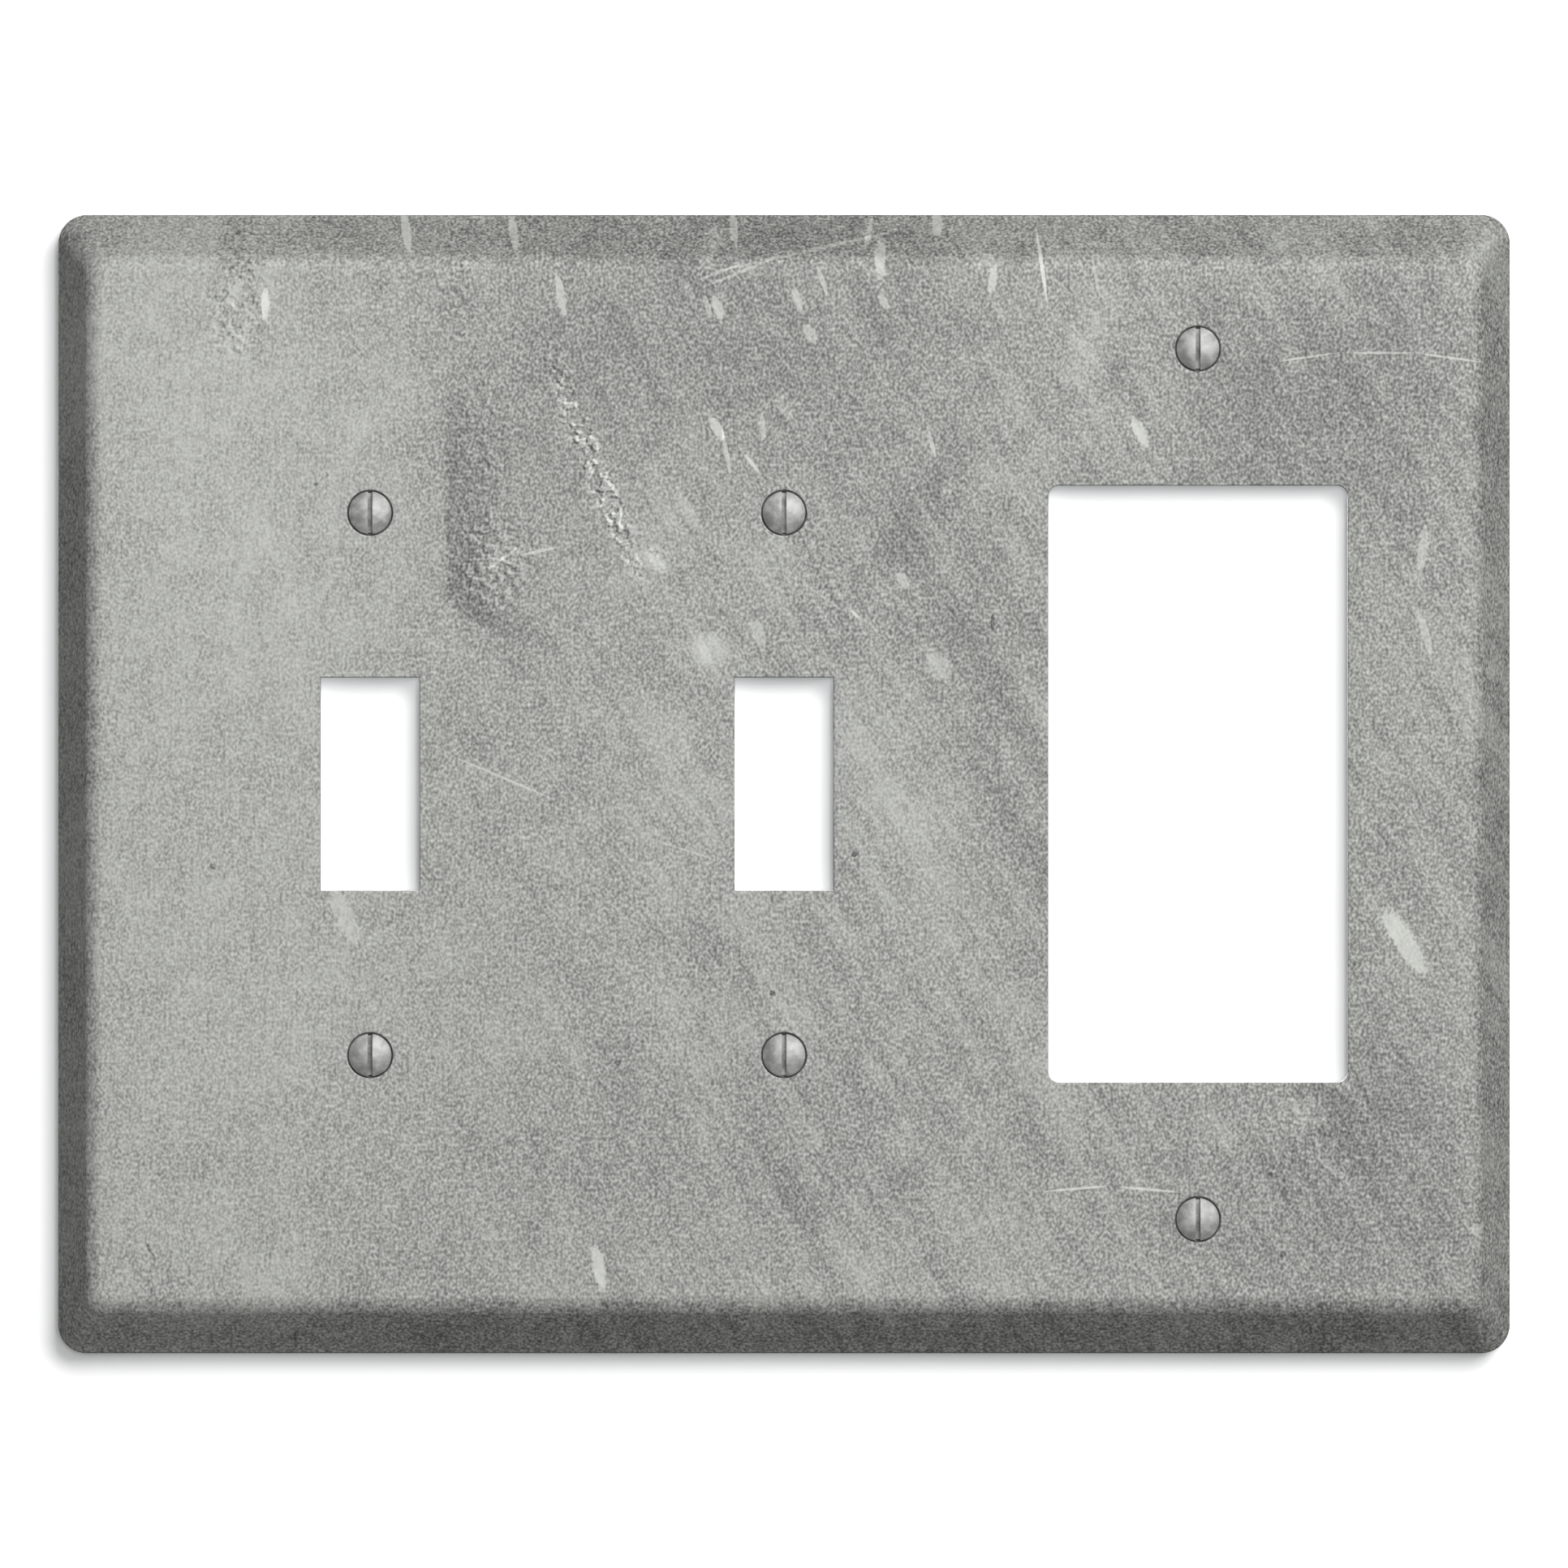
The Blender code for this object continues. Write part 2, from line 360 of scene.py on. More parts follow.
cone_depth = (MOUTH_RADIUS - HOLE_RADIUS) / math.tan(CONE_HALF_ANGLE)
hole_end = SHEET + BOSS_HEIGHT + PAST
start_shape()
bpy.ops.mesh.primitive_cylinder_add(
    vertices=ROUND_SIDES, radius=HOLE_RADIUS, depth=hole_end - cone_depth,
    location=(0, (hole_end + cone_depth) / 2, 0), rotation=(-math.pi / 2, 0, 0),
)
hole = bpy.context.object
settle()
edit(True)
choose("FACE", faces_front)
bpy.ops.mesh.extrude_region_move(TRANSFORM_OT_translate={"value": (0, -cone_depth - PAST, 0)})
wide = (MOUTH_RADIUS + PAST * math.tan(CONE_HALF_ANGLE)) / HOLE_RADIUS
bpy.ops.transform.resize(value=(wide, 1, wide), center_override=(0, 0, 0))
edit(False)
cutters = copies_at(hole, list(screw_places.values()))
print(len(cutters), "hole cutters")

# %% [markdown]
# The openings for the levers are punched with sharp corners, and the one for the rocker with small round
# ones. Boolean cuts go wrong more easily when there are many, so all the cutters are joined and cut at
# once.

# %% Cutters for the openings
LEVER_OPENING = (11.0 * MM, 23.7 * MM)
ROCKER_OPENING = (33.3 * MM, 66.4 * MM)
ROCKER_CORNER = 1.2 * MM

for name, place in opening_middles.items():
    is_rocker = "rocker" in name
    width, height = ROCKER_OPENING if is_rocker else LEVER_OPENING
    start_shape()
    bpy.ops.mesh.primitive_cube_add(
        size=1, location=(place.x, FACE_Y, 0), scale=(width, 2 * PAST + SHEET, height)
    )
    cutter = bpy.context.object
    settle()
    if is_rocker:
        edit(True)
        choose("EDGE", runs_in_depth)
        bpy.ops.mesh.bevel(offset=ROCKER_CORNER, segments=CORNER_STEPS, affect="EDGES")
        edit(False)
    cutters.append(cutter)

cut_or_add(plate, join_into(cutters, "cutters"), "DIFFERENCE")
print("plate with holes:", len(plate.data.polygons), "faces")

# %% [markdown]
# A punch draws the sheet in a little as it goes through, so the front edge of every hole is slightly
# rolled. That edge is what catches the light, and it takes only a fine bevel. Smooth shading would let the
# rolled edges and bends tilt the light on the whole face, so Weighted Normal gives the large flat faces
# their say.

# %% Rolled edges
ROLLED_EDGE = 0.16 * MM
SMOOTH_BELOW = math.radians(30)


def is_punched_edge(edge):
    """Where the flat face ends at a hole, and the wall or cone of the hole begins."""
    if len(edge.link_faces) != 2 or not lies_at(edge, FACE_Y):
        return False
    facing = sorted(face.normal.y for face in edge.link_faces)
    return facing[0] < -SQUARE_ON and facing[1] > -0.9


make_only(plate)
edit(True)
punched = choose("EDGE", is_punched_edge)
bpy.ops.mesh.bevel(offset=ROLLED_EDGE, segments=2, affect="EDGES")
bpy.ops.mesh.select_all(action="SELECT")
bpy.ops.mesh.remove_doubles(threshold=NEAR)
edit(False)
bpy.ops.object.shade_smooth_by_angle(angle=SMOOTH_BELOW)
finish_modifier(plate, "WEIGHTED_NORMAL", mode="FACE_AREA", keep_sharp=True)
print(punched, "edges rolled; the plate has", len(plate.data.polygons), "faces")

# %% [markdown]
# ## A screw
# The screws are small machine screws with an oval head: a low dome above, a cone below, and a saw-cut slot.
# The blank is turned on a lathe, so it is drawn out of a circle, ring by ring, from tip to dome. Spinning a
# profile would do too, but this way the rings can be read as the turner's own sizes.

# %% The turned blank
DOME_HEIGHT = 0.79 * MM
HEAD_EDGE = 0.12 * MM
SCREW_LENGTH = 12.7 * MM
TIP_CHAMFER = 0.5 * MM
NECK_LENGTH = 0.9 * MM
THREAD_DEPTH = 0.45 * MM
# places of the dome's rings, from its edge at 0 to its top at 1
DOME_RINGS = (0, 0.06, 0.14, 0.25, 0.38, 0.52, 0.66, 0.8, 0.92)

sphere_radius = (HEAD_RADIUS**2 + DOME_HEIGHT**2) / (2 * DOME_HEIGHT)
dome_half_angle = math.asin(HEAD_RADIUS / sphere_radius)
head_cone_end = (HEAD_RADIUS - THREAD_RADIUS) / math.tan(CONE_HALF_ANGLE)


def dome_ring(share):
    """Radius and height of the dome's ring at this share of the way from its edge to its top."""
    angle = dome_half_angle * (1 - share)
    return sphere_radius * math.sin(angle), sphere_radius * (1 - math.cos(angle)) - DOME_HEIGHT - HEAD_EDGE


rings = [
    (THREAD_RADIUS, SCREW_LENGTH - TIP_CHAMFER),
    (THREAD_RADIUS, head_cone_end),
    (HEAD_RADIUS, 0.0),
    *(dome_ring(share) for share in DOME_RINGS),
]

start_shape()
radius, height = THREAD_RADIUS - TIP_CHAMFER, SCREW_LENGTH
bpy.ops.mesh.primitive_circle_add(
    vertices=ROUND_SIDES, radius=radius, fill_type="NGON", location=(0, height, 0),
    rotation=(math.pi / 2, 0, 0),
)
screw = bpy.context.object
settle()
edit(True)
bpy.ops.mesh.select_all(action="SELECT")
for next_radius, next_height in rings:
    bpy.ops.mesh.extrude_region_move(TRANSFORM_OT_translate={"value": (0, next_height - height, 0)})
    grow = next_radius / radius
    bpy.ops.transform.resize(value=(grow, 1, grow), center_override=(0, next_height, 0))
    radius, height = next_radius, next_height
bpy.ops.mesh.select_all(action="SELECT")
bpy.ops.mesh.normals_make_consistent(inside=False)
edit(False)
print(f"blank: {len(rings) + 1} rings, head {2 * HEAD_RADIUS / MM:.2f} mm across")

# %% [markdown]
# The slot is sawn straight across the head. Its mouth and the head's rim then lose their sharpness in the
# plating drum, so they get fine bevels.

# %% The slot
SLOT_WIDTH = 0.50 * MM
SLOT_DEPTH = 1.1 * MM
TUMBLED_EDGE = 0.035 * MM

dome_top = -DOME_HEIGHT - HEAD_EDGE
start_shape()
bpy.ops.mesh.primitive_cube_add(
    size=1, location=(0, dome_top + (SLOT_DEPTH - PAST) / 2, 0),
    scale=(SLOT_WIDTH, SLOT_DEPTH + PAST, 4 * HEAD_RADIUS),
)
cut_or_add(screw, bpy.context.object, "DIFFERENCE")


def is_slot_mouth(edge):
    """Where the dome ends at the slot, and the wall of the slot begins."""
    if len(edge.link_faces) != 2 or not all(abs(abs(v.co.x) - SLOT_WIDTH / 2) < NEAR for v in edge.verts):
        return False
    facing = sorted(face.normal.y for face in edge.link_faces)
    return facing[0] < -0.5 and abs(facing[1]) < 0.1


def is_head_rim(edge):
    """Where the dome meets the upright edge of the head."""
    return lies_at(edge, -HEAD_EDGE) and all(
        abs(math.hypot(v.co.x, v.co.z) - HEAD_RADIUS) < NEAR for v in edge.verts
    )


make_only(screw)
edit(True)
mouth = choose("EDGE", lambda e: is_slot_mouth(e) or is_head_rim(e))
bpy.ops.mesh.bevel(offset=TUMBLED_EDGE, segments=2, affect="EDGES")
edit(False)
print(mouth, "edges tumbled")

# %% [markdown]
# The thread has 32 turns to the inch. A die cuts its groove, and a three-sided wire wound by the Screw
# modifier is the very shape that the die removes. So the groove is wound, its two ends are closed, and it
# is cut out of the shank, which leaves a real helix with flat crests.

# %% The thread
PITCH = 25.4 * MM / 32
THREAD_SMOOTH_BELOW = math.radians(20)
THREAD_TURNS = 13
TURN_STEPS = 24
FLANK_ANGLE = math.radians(30)
PAST_THREAD = 0.06 * MM
SEAM = 0.0005 * MM

groove_inside = THREAD_RADIUS - THREAD_DEPTH
groove_outside = THREAD_RADIUS + PAST_THREAD
groove_half_width = (groove_outside - groove_inside) * math.tan(FLANK_ANGLE)
groove_start = head_cone_end + NECK_LENGTH

start_shape()
bpy.ops.mesh.primitive_circle_add(vertices=3, radius=1, fill_type="NOTHING", location=(0, 0, 0))
groove = bpy.context.object
corners = (
    (groove_inside, groove_start, 0),
    (groove_outside, groove_start + groove_half_width, 0),
    (groove_outside, groove_start - groove_half_width, 0),
)
edit(True)
for number, corner in enumerate(corners):
    choose("VERT", lambda v: v.index == number)
    triangle = bmesh.from_edit_mesh(groove.data)
    triangle.verts.ensure_lookup_table()
    bpy.ops.transform.translate(value=Vector(corner) - triangle.verts[number].co)
edit(False)
finish_modifier(
    groove, "SCREW", axis="Y", angle=math.tau, screw_offset=PITCH, iterations=THREAD_TURNS,
    steps=TURN_STEPS, render_steps=TURN_STEPS, use_merge_vertices=True, merge_threshold=SEAM,
    use_normal_calculate=True,
)
make_only(groove)
edit(True)
choose("EDGE", lambda e: e.is_boundary)
bpy.ops.mesh.fill()
bpy.ops.mesh.select_all(action="SELECT")
bpy.ops.mesh.normals_make_consistent(inside=False)
edit(False)
cut_or_add(screw, groove, "DIFFERENCE")
make_only(screw)
bpy.ops.object.shade_smooth_by_angle(angle=THREAD_SMOOTH_BELOW)
print("screw:", len(screw.data.polygons), "faces,", f"pitch {PITCH / MM:.3f} mm")

# %% [markdown]
# All six screws are the same, so one is copied, each copy with its own mesh. It is named for its place, and
# its place goes into its mesh.

# %% Copy the screw to the six holes
screws = {}
for copy, (body, place) in zip(copies_at(screw, list(screw_places.values())), screw_places.items()):
    copy.name = f"slotted_{body}"
    make_only(copy)
    settle()
    screws[body] = copy
print(", ".join(sorted(o.name for o in screws.values())))

# %% [markdown]
# ## Finishes
# One function turns a colour as a paint chart gives it into the linear values that Blender works in, and
# one adds a node with its settings and links. Every finish starts in the same way, with a new material and
# with the place on the object in millimetres, so these two steps are written once as well.

# %% Colours, nodes and new materials
def linear(colour_hex):
    """A colour such as #A5A6A1 as linear red, green, blue and alpha."""
    parts = [int(colour_hex[i : i + 2], 16) / 255 for i in (1, 3, 5)]
    return (*(p / 12.92 if p <= 0.04045 else ((p + 0.055) / 1.055) ** 2.4 for p in parts), 1.0)


def add_node(tree, kind, inputs=None, **settings):
    """Adds a node. An input is given a value, or linked if it is given another node's output."""
    node = tree.nodes.new(kind)
    for name, value in settings.items():
        setattr(node, name, value)
    for socket, value in (inputs or {}).items():
        if isinstance(value, bpy.types.NodeSocket):
            tree.links.new(value, node.inputs[socket])
        else:
            node.inputs[socket].default_value = value
    return node


def new_finish(name):
    """A new material, its node tree and its shader."""
    material = bpy.data.materials.new(name)
    material.use_nodes = True
    return material, material.node_tree, material.node_tree.nodes["Principled BSDF"]


def place_in_mm(tree):
    """The place on the object, in millimetres from the plate's middle."""
    metres = add_node(tree, "ShaderNodeTexCoord").outputs["Object"]
    return add_node(
        tree, "ShaderNodeVectorMath", {0: metres, 1: (1 / MM, 1 / MM, 1 / MM)}, operation="MULTIPLY"
    ).outputs[0]


print("mid grey is", round(linear("#808080")[0], 3), "in linear light")

# %% [markdown]
# The room is white to look at, but lights the part only faintly, and shows a little more strongly in
# polished metal. The Light Path node tells these three uses of the world apart.

# %% The room
ROOM_FILL = 0.09
ROOM_IN_METAL = 0.29

world = bpy.data.worlds.new("studio")
bpy.context.scene.world = world
world.use_nodes = True
room = world.node_tree
rays = add_node(room, "ShaderNodeLightPath").outputs
room_level = ROOM_FILL
for kind, shown in (("Is Glossy Ray", ROOM_IN_METAL), ("Is Camera Ray", 1.0)):
    room_level = add_node(
        room, "ShaderNodeMath", {0: rays[kind], 1: shown - ROOM_FILL, 2: room_level},
        operation="MULTIPLY_ADD",
    ).outputs[0]
room.nodes["Background"].inputs["Color"].default_value = (1, 1, 1, 1)
room.links.new(room_level, room.nodes["Background"].inputs["Strength"])
print("room:", ROOM_FILL, "as light,", ROOM_IN_METAL, "in reflections")

# %% [markdown]
# The plate is seen against a white wall, which stands a little off its rim, so that a soft shadow falls to
# the lower left. A white card lies in the hollow of the pan, where the switches would be, and catches the
# shadows of the openings. Both can only be seen from the front, and neither is part of the plate.

# %% White wall and card
WALL_SIZE = 0.5
WALL_GAP = 2.5 * MM
CARD_BEHIND_FACE = 3.2 * MM
CARD_MARGIN = 8.0 * MM

wall_material, paint, paint_shader = new_finish("white_wall_paint")
paint_shader.inputs["Base Color"].default_value = linear("#F6F6F6")
paint_shader.inputs["Roughness"].default_value = 0.9
paint_shader.inputs["Specular IOR Level"].default_value = 0.0
back = add_node(paint, "ShaderNodeNewGeometry").outputs["Backfacing"]
clear = add_node(paint, "ShaderNodeBsdfTransparent").outputs[0]
one_sided = add_node(paint, "ShaderNodeMixShader", {0: back, 1: paint_shader.outputs[0], 2: clear})
paint.links.new(one_sided.outputs[0], paint.nodes["Material Output"].inputs["Surface"])

card_size = (PLATE_WIDTH - 2 * CARD_MARGIN, PLATE_HEIGHT - 2 * CARD_MARGIN)
for name, y, size in (
    ("wall", WALL_GAP, (WALL_SIZE, WALL_SIZE)),
    ("card", FACE_Y + CARD_BEHIND_FACE, card_size),
):
    start_shape()
    bpy.ops.mesh.primitive_plane_add(size=1, location=(0, y, 0), rotation=(math.pi / 2, 0, 0))
    backdrop = bpy.context.object
    backdrop.name = name
    backdrop.scale = (*size, 1)
    backdrop.data.materials.append(wall_material)
    backdrop.visible_shadow = False
    backdrop.visible_diffuse = False
    backdrop.visible_glossy = False
    print(name, f"{size[0] / MM:.0f} x {size[1] / MM:.0f} mm")

# %% [markdown]
# ## The printed face
# The face is steel with a print of worn grey concrete under a satin varnish. All of it is ink, so the
# pattern has next to no relief, and the steel's sheen comes through a little. The pattern is worked out as
# a level from 0 to 255, as a retoucher would, and turned to a linear colour at the end. Everything is
# placed in millimetres from the plate's middle.
#
# First come the coordinates: the full ones for fine grain, and flattened ones for whatever runs over the
# slopes unbroken.

# %% Coordinates in millimetres
print_material, ink, ink_shader = new_finish("satin_concrete_print_on_steel")
solid_place = place_in_mm(ink)
flat_place = add_node(
    ink, "ShaderNodeVectorMath", {0: solid_place, 1: (1, 0, 1)}, operation="MULTIPLY"
).outputs[0]
flat_axes = add_node(ink, "ShaderNodeSeparateXYZ", {0: flat_place})
across, up = flat_axes.outputs["X"], flat_axes.outputs["Z"]
print("coordinates in mm")

# %% [markdown]
# Concrete looks the way it does because it varies at every scale at once: fine sand, coarser grit, and
# clouds where it dried unevenly. On the left a float has drawn it almost straight down, and towards the
# right it was swept down at a slant. So the level is a base plus several noises, and for each the table
# gives the size of its grains in millimetres along X, Y and Z, its turn, its octaves, its strength, and
# between which places from left to right it fades in. The sand comes last of all, over the marks.

# %% Grit, clouds and strokes
BASE_LEVEL = 166.0
NOISES = (
    # name, grain in mm, turn about Y in degrees, octaves, strength in levels, fades in from X to X, offset
    ("grit", (1.10, 1.10, 1.10), 0, 1, 36.0, None, 17.7),
    ("lumps", (5.0, 5.0, 5.0), 0, 1, 26.0, None, 29.3),
    ("clouds", (21.0, 21.0, 21.0), 0, 2, 44.0, None, 5.2),
    ("weave", (0.34, 1.0, 2.60), 4, 1, 30.0, (15, -55), 41.3),
    ("strokes", (8.0, 1.0, 0.60), 58, 1, 44.0, (-60, 5), 63.9),
    ("sweeps", (34.0, 1.0, 3.00), 60, 1, 42.0, (-55, 5), 88.1),
)

level = BASE_LEVEL
noise_of = {}
for name, grain, turn, octaves, strength, fade, offset in NOISES:
    source = flat_place if name in ("clouds", "strokes", "sweeps") else solid_place
    placed = add_node(
        ink, "ShaderNodeMapping",
        {"Vector": source, "Location": (offset, offset, offset), "Rotation": (0, math.radians(turn), 0),
         "Scale": grain},
        vector_type="TEXTURE",
    ).outputs[0]
    noise_of[name] = add_node(
        ink, "ShaderNodeTexNoise", {"Vector": placed, "Scale": 1.0, "Detail": octaves, "Roughness": 0.8}
    ).outputs["Fac"]
    centred = add_node(ink, "ShaderNodeMath", {0: noise_of[name], 1: 0.5}, operation="SUBTRACT").outputs[0]
    if fade:
        faded = add_node(
            ink, "ShaderNodeMapRange", {"Value": across, "From Min": fade[0], "From Max": fade[1]},
            interpolation_type="SMOOTHSTEP",
        ).outputs[0]
        centred = add_node(ink, "ShaderNodeMath", {0: centred, 1: faded}, operation="MULTIPLY").outputs[0]
    level = add_node(
        ink, "ShaderNodeMath", {0: centred, 1: strength, 2: level}, operation="MULTIPLY_ADD"
    ).outputs[0]
print(len(NOISES), "noises")

# %% [markdown]
# Wear leaves marks of a few kinds: chips where the skin has come off, smudges of lime, scratches, and pits.
# Each is an ellipse, long or round, crisp or soft, so one node group draws them all. It measures how far
# out a point lies in the ellipse, frays that with noise so that no outline is clean, and adds its strength
# to the level. The marks form a chain, so the flat place and the level travel through it as one vector: the
# place keeps X and Z, and the level takes Y, which is free. That way the renderer works out one mark after
# another, where it would otherwise run out of room for a hundred half-finished ones.

# %% One mark as a node group
IGNORE_LEVEL = 1e6

mark_group = bpy.data.node_groups.new("worn_mark", "ShaderNodeTree")
for name, kind in (
    ("Place and level", "NodeSocketVector"), ("Centre", "NodeSocketVector"), ("Turn", "NodeSocketVector"),
    ("Half size", "NodeSocketVector"), ("Core", "NodeSocketFloat"), ("Fray", "NodeSocketFloat"),
    ("Strength", "NodeSocketVector"),
):
    mark_group.interface.new_socket(name=name, in_out="INPUT", socket_type=kind)
mark_group.interface.new_socket(name="Place and level", in_out="OUTPUT", socket_type="NodeSocketVector")

given = add_node(mark_group, "NodeGroupInput").outputs
in_ellipse = add_node(
    mark_group, "ShaderNodeMapping",
    {"Vector": given["Place and level"], "Location": given["Centre"], "Rotation": given["Turn"],
     "Scale": given["Half size"]},
    vector_type="TEXTURE",
).outputs[0]
way_out = add_node(mark_group, "ShaderNodeVectorMath", {0: in_ellipse}, operation="LENGTH").outputs["Value"]
frayed = add_node(mark_group, "ShaderNodeMath", {0: way_out, 1: given["Fray"]}, operation="ADD").outputs[0]
cover = add_node(
    mark_group, "ShaderNodeMapRange",
    {"Value": frayed, "From Min": given["Core"], "From Max": 1.0, "To Min": 1.0, "To Max": 0.0},
    interpolation_type="SMOOTHSTEP",
).outputs[0]
marked = add_node(
    mark_group, "ShaderNodeVectorMath", {0: cover, 1: given["Strength"], 2: given["Place and level"]},
    operation="MULTIPLY_ADD",
).outputs[0]
add_node(mark_group, "NodeGroupOutput", {0: marked})
print("mark group:", len(mark_group.nodes), "nodes")

# %% [markdown]
# The tables come next. In each row stand the mark's place X and Z, its half length and half width in
# millimetres, its turn in degrees from +X towards +Z, and its strength in levels. The first table holds the
# broad patches, soft all the way out: the left third is paler, the top and the lower right are darker. Two
# long rows in it, along the top and bottom edges, are painted shade on the top and bottom slopes, darker
# below. The others hold the wear, mark by mark.

# %% Patches
PATCHES_AND_SLOPE_SHADE = (
    (-64, 34, 30, 42, 0, 20), (-62, -20, 30, 55, 0, 14), (-4, 50, 46, 26, 0, -22), (-12, 3, 10, 12, 0, 10),
    (12, -2, 8, 30, 12, 12), (50, 0, 62, 95, 0, -9), (62, 44, 30, 26, 0, -24), (66, -46, 40, 30, 0, -16),
    (74, 0, 14, 34, 0, -4), (-22, -45, 40, 22, 0, -4), (17, 19, 22, 22, 0, -12), (14, 29, 14, 4, 51, -19),
    (13, -3, 14, 3, -57, 15), (25, -4, 14, 4.5, -57, -11), (28, -30, 13, 3.5, -57, 9),
    (34, 49, 7, 4, 70, 18), (33, 39, 6, 3.5, 30, 10), (-14.3, 25, 3, 2, -30, 40), (3, -40, 26, 18, 0, -8),
    # the rows at Z 61.5 and -61.5 are painted shade on the top and bottom slopes
    (-61, 58, 4.5, 11, 0, -15), (-36, 56, 3, 11, 0, -10), (0, 61.5, 120, 5, 0, -11),
    (0, -61.5, 120, 5.5, 0, -23), (-30, 31, 15, 25, 0, -12), (23, 12, 14, 4, -57, -14),
    (-44, 42, 10, 5, 40, 12), (-9, 15, 4, 7, 20, 14), (62, -38, 14, 8, 30, -12),
)
print(len(PATCHES_AND_SLOPE_SHADE), "patches")

# %% [markdown]
# Chips are small, pale and crisp. Most lie near the top, and nearly all point the way that the float went,
# which is steeply down to the right.

# %% Chips
CHIPS = (
    (-42.1, 61.7, 2.2, 0.45, -80, 46), (-30.1, 61.3, 1.9, 0.45, -80, 46), (-57.7, 53.3, 1.7, 0.4, 90, 46),
    (-24.8, 54.2, 2, 0.45, -80, 46), (10.7, 58.5, 2, 0.55, 90, 46), (-5.6, 61.9, 1.6, 0.4, -85, 46),
    (17.1, 62.4, 1.2, 0.5, 90, 46), (9.4, 61.3, 1.6, 0.25, 77, 40), (-8.3, 59.8, 2.2, 1, 80, 19),
    (-7.3, 52.9, 1.2, 0.5, -70, 46), (-8.5, 53.1, 1.1, 0.3, -70, 40), (-10.8, 55.2, 1.2, 0.5, -60, 27),
    (1.5, 53.8, 1.3, 0.4, -75, 46), (2.9, 50.1, 1.1, 0.5, -60, 46), (4.3, 55.9, 1.4, 0.25, -72, 40),
    (11.1, 53.7, 0.8, 0.4, -60, 40), (23.2, 56.1, 1.4, 0.45, 80, 46), (39.6, 39.1, 1.7, 0.55, -63, 46),
    (-7.5, 39.6, 1.2, 0.5, -60, 46), (-6.4, 36.9, 2.2, 0.2, -80, 40), (-2.4, 39.8, 1.3, 0.35, -85, 40),
    (0.1, 42.1, 1.6, 0.7, -60, 20), (16.4, 38, 1.6, 0.2, -75, 40), (18.1, 32.6, 1.3, 0.6, 70, 22),
    (-10.5, 30, 2.5, 0.6, -60, 22), (-2.8, 16.8, 1.5, 0.6, -70, 32), (13.2, 22.6, 1, 0.5, -60, 43),
    (17.3, 13.1, 1.6, 1.1, -50, 27), (-8.2, 15, 2, 1.6, 0, 19), (-20.6, -53.8, 2.2, 0.6, -80, 46),
    (-48.8, -14.8, 3, 0.9, -65, 22), (69, -17.5, 3.8, 1, -58, 46), (71, 25.9, 2.4, 0.5, 83, 38),
    (71.2, 17, 2.4, 0.4, -72, 30), (78.6, 12.3, 0.7, 0.4, 90, 24), (58.6, -36.4, 2, 1.5, 0, 16),
    (77.1, -49.5, 0.6, 0.6, 0, 35), (-76.4, -19.3, 3, 0.4, 90, 20), (-61, 55, 1.6, 0.7, 80, 24),
    (-60.4, 49.6, 1.2, 0.6, 80, 22),
)
print(len(CHIPS), "chips")

# %% [markdown]
# Scratches are long and hardly wider than a grain of sand. A bent one is made of short straight ones, end
# to end. The pits are dark, so their strength is negative.

# %% Scratches and pits
SCRATCHES = (
    (2, 59.2, 12.5, 0.26, 13, 34), (-5, 56.9, 5, 0.22, 22, 34), (28.7, 57.5, 5.2, 0.27, -82, 64),
    (34.7, 56.3, 2.8, 0.21, -80, 30), (-7, 57, 3.4, 0.21, 20, 30), (-3.6, 35.7, 1.9, 0.27, -51, 56),
    (7.9, 18.9, 1, 0.24, -45, 60), (4.6, 20.6, 3.6, 0.19, -35, 23), (-31.4, 25, 2.8, 0.22, 36, 46),
    (-27.2, 25.9, 2.8, 0.22, 12, 46), (-31, 0.6, 7.6, 0.18, -23, 39), (-10.5, -7.5, 4, 0.16, -18, 28),
    (58.4, 47.5, 4.4, 0.17, 8, 52), (66.3, 47.95, 4.4, 0.17, 0, 52), (74.2, 47.4, 4.4, 0.17, -8, 52),
    (32.6, -45, 4.3, 0.19, 5, 52), (40.5, -45.1, 4.2, 0.19, -5, 52),
)
PITS = (
    (23.2, 17.9, 1, 0.22, 90, -58), (-70.5, -51.8, 0.9, 0.18, -60, -51), (7.9, -7.8, 0.42, 0.3, 20, -68),
    (-1.3, -23.3, 0.4, 0.3, -30, -65), (-63.5, -9.2, 0.4, 0.3, 0, -58), (31.5, 60.2, 0.35, 0.25, 0, -44),
    (-52, 33.5, 0.35, 0.3, 0, -41), (55.5, -52.3, 0.45, 0.3, 40, -48), (-18.5, -31, 0.4, 0.25, 0, -44),
)
print(len(SCRATCHES), "scratches,", len(PITS), "pits")

# %% [markdown]
# What differs from kind to kind is how much of a mark is solid, and how its edge frays: a chip is solid
# with a crisp outline, a patch is soft. The chips and pits are drawn a little larger than listed, because
# fraying eats into them.

# %% Draw the marks
# table, how much larger it is drawn, share of a mark that is solid, strength of the fray, its grain in mm
KINDS = (
    (PATCHES_AND_SLOPE_SHADE, 1.0, 0.0, 0.5, 4.0), (CHIPS, 1.3, 0.72, 1.0, 0.5), (SCRATCHES, 1.0, 0.55, 0.7, 0.5),
    (PITS, 1.2, 0.65, 0.5, 0.4),
)


def fray_of(strength, grain):
    """Noise about nought, which makes an outline ragged."""
    torn = add_node(ink, "ShaderNodeTexNoise", {"Vector": flat_place, "Scale": 1 / grain, "Detail": 2.0})
    return add_node(
        ink, "ShaderNodeMath", {0: torn.outputs["Fac"], 1: strength, 2: -0.5 * strength},
        operation="MULTIPLY_ADD",
    ).outputs[0]


